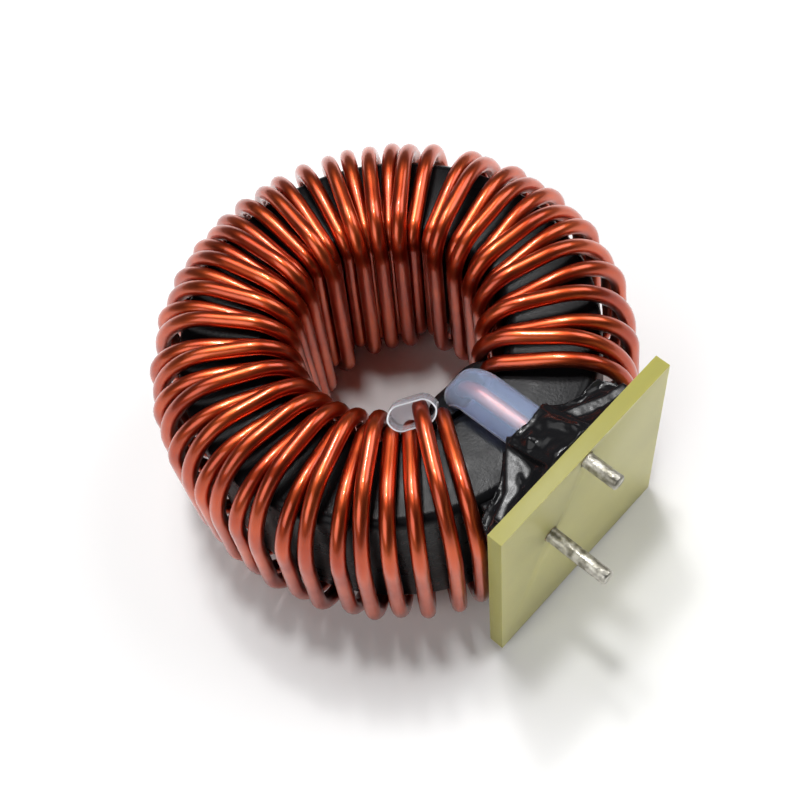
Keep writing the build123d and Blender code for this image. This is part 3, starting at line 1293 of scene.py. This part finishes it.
    def bore_fill(self) -> bpy.types.Object:
        """Curved black lump in the bore under the upper tube, darkening that part of the
        bore.

        Returns:
            The lump.
        """
        rows = []
        half = self.fill_steps / 2
        chamfer_in, chamfer_up = self.fill_chamfer
        for i in range(self.fill_steps + 1):
            angle = self.fill_start + self.fill_sweep * i / self.fill_steps
            top = self.fill_top + self.fill_wave * math.sin(i * self.fill_wave_step)
            near = self.fill_near + self.fill_ends * abs((i - half) / half) ** 4
            section = [(self.fill_far, self.fill_foot), (near + chamfer_in, self.fill_foot),
                       (near, self.fill_foot + chamfer_up)]
            section += [(near + step_in, top - down) for step_in, down in self.fill_rim]
            section.append((self.fill_far, top + self.fill_slope))
            rows.append([polar(r, angle, z) for r, z in section])
        return skin("bore_fill", rows, ends=True)

    def build(self) -> None:
        """Melt the shapes into one, smooth the skin and dress it."""
        piece = copy_of_node("adhesive", "adhesive_mass")
        parts = [self.sheet(), self.bore_fill()]
        take(piece)
        for part in parts:
            part.select_set(True)
        bpy.ops.object.join()
        apply_modifier(piece, "REMESH", mode="VOXEL", voxel_size=self.voxel * MM)
        apply_modifier(piece, "SMOOTH", factor=self.smoothing,
                       iterations=self.smoothing_rounds)
        smooth(piece, degrees=180)
        dress(piece, AdhesiveFinish().make(), "adhesive", "adhesive")


@dataclass(frozen=True)
class Lamp:
    """Soft square lamp: its direction in degrees, distance, edge length and watts."""

    name: str
    azimuth: float
    elevation: float
    distance: float
    size: float
    power: float

    def hang(self, aim: Vector) -> None:
        """Hang the lamp so that it looks at a point.

        Args:
            aim: The point.
        """
        tilt = math.radians(self.elevation)
        place = aim + polar(math.cos(tilt), self.azimuth, math.sin(tilt)) * self.distance
        deselect()
        bpy.ops.object.light_add(type="AREA", location=place)
        lamp = bpy.context.object
        lamp.name = self.name
        lamp.data.size = self.size
        lamp.data.energy = self.power
        lamp.rotation_euler = (aim - place).to_track_quat("-Z", "Y").to_euler()


@dataclass
class Studio:
    """Ground, lamps, room light and camera, in metres."""

    eye: Place = (-0.050087, -0.070225, 0.159948)
    forward: Place = (0.2841, 0.4020, -0.8704)
    right: Place = (0.6683, -0.7340, -0.1209)
    lens: float = 70.60
    sensor: float = 36.0
    nearest: float = 0.005
    ground_size: float = 1.2
    horizon: float = 0.14
    ceiling: float = 0.02
    ceiling_from: float = 0.45
    aim: Place = (0, 0, 0.015)
    lamps: tuple[Lamp, ...] = (
        Lamp("key", 50, 67, 0.6, 0.2, 0.85), Lamp("strip", 50, 66, 0.6, 0.06, 0.7),
        Lamp("overhead", 50, 82, 0.6, 0.07, 1.2), Lamp("back left", 95, 60, 0.6, 0.3, 0.6),
        Lamp("right", -20, 45, 0.7, 0.4, 1.75), Lamp("left", -175, 38, 0.7, 0.5, 1.75))

    def ground(self) -> None:
        """Lay the plain pale ground."""
        deselect()
        bpy.ops.mesh.primitive_plane_add(size=self.ground_size, location=(0, 0, 0))
        floor = bpy.context.object
        floor.name = "ground"
        apply_place(floor)
        floor.data.materials.append(PaperFinish().make())

    def world(self) -> None:
        """Dim white light from all round, fading darker overhead, and full white where it
        is seen directly or through clear parts.
        """
        world = bpy.data.worlds.new("room")
        bpy.context.scene.world = world
        world.use_nodes = True
        tree = world.node_tree
        where = tree.nodes.new("ShaderNodeTexCoord")
        split = tree.nodes.new("ShaderNodeSeparateXYZ")
        tree.links.new(where.outputs["Generated"], split.inputs["Vector"])
        level = tree.nodes.new("ShaderNodeMapRange")
        level.interpolation_type = "SMOOTHSTEP"
        level.inputs["From Min"].default_value = 0.0
        level.inputs["From Max"].default_value = self.ceiling_from
        level.inputs["To Min"].default_value = self.horizon
        level.inputs["To Max"].default_value = self.ceiling
        tree.links.new(split.outputs["Z"], level.inputs["Value"])
        seen = tree.nodes.new("ShaderNodeLightPath")
        direct = tree.nodes.new("ShaderNodeMath")
        direct.operation = "MAXIMUM"
        tree.links.new(seen.outputs["Is Camera Ray"], direct.inputs[0])
        tree.links.new(seen.outputs["Is Transmission Ray"], direct.inputs[1])
        strength = tree.nodes.new("ShaderNodeMath")
        strength.operation = "MAXIMUM"
        tree.links.new(direct.outputs["Value"], strength.inputs[0])
        tree.links.new(level.outputs["Result"], strength.inputs[1])
        background = tree.nodes["Background"]
        background.inputs["Color"].default_value = (1.0, 1.0, 1.0, 1.0)
        tree.links.new(strength.outputs["Value"], background.inputs["Strength"])

    def camera(self) -> None:
        """Stand the camera where the picture was taken from."""
        forward = Vector(self.forward).normalized()
        right = Vector(self.right)
        right = (right - forward * right.dot(forward)).normalized()
        up = right.cross(forward)
        deselect()
        bpy.ops.object.camera_add(location=self.eye)
        camera = bpy.context.object
        turn = Matrix((right, up, -forward)).transposed().to_4x4()
        camera.matrix_world = Matrix.Translation(self.eye) @ turn
        camera.data.sensor_width = self.sensor
        camera.data.sensor_fit = "HORIZONTAL"
        camera.data.lens = self.lens
        camera.data.clip_start = self.nearest
        bpy.context.scene.camera = camera

    def build(self) -> None:
        """Set up everything round the object."""
        self.ground()
        self.world()
        for lamp in self.lamps:
            lamp.hang(Vector(self.aim))
        self.camera()
        bpy.context.scene.view_settings.view_transform = "Standard"


def main() -> None:
    """Build the parts in order, dress them and light them."""
    logging.basicConfig(level=logging.INFO, format="%(message)s")
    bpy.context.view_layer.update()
    plane = PlatePlane()
    core = RingCore()
    core.build()
    winding = Winding(plane, core)
    winding.build()
    BasePlate(plane).build()
    tin = TinFinish().make()
    WireEnd(plane, "upper_wire_end", "lead_end_upper", plane.upper_hole, 3.9).build(tin)
    WireEnd(plane, "lower_wire_end", "lead_end_lower", plane.lower_hole, 7.2).build(tin)
    Sleeves(winding).build()
    Adhesive(plane).build()
    Studio().build()


if __name__ == "__main__":
    main()
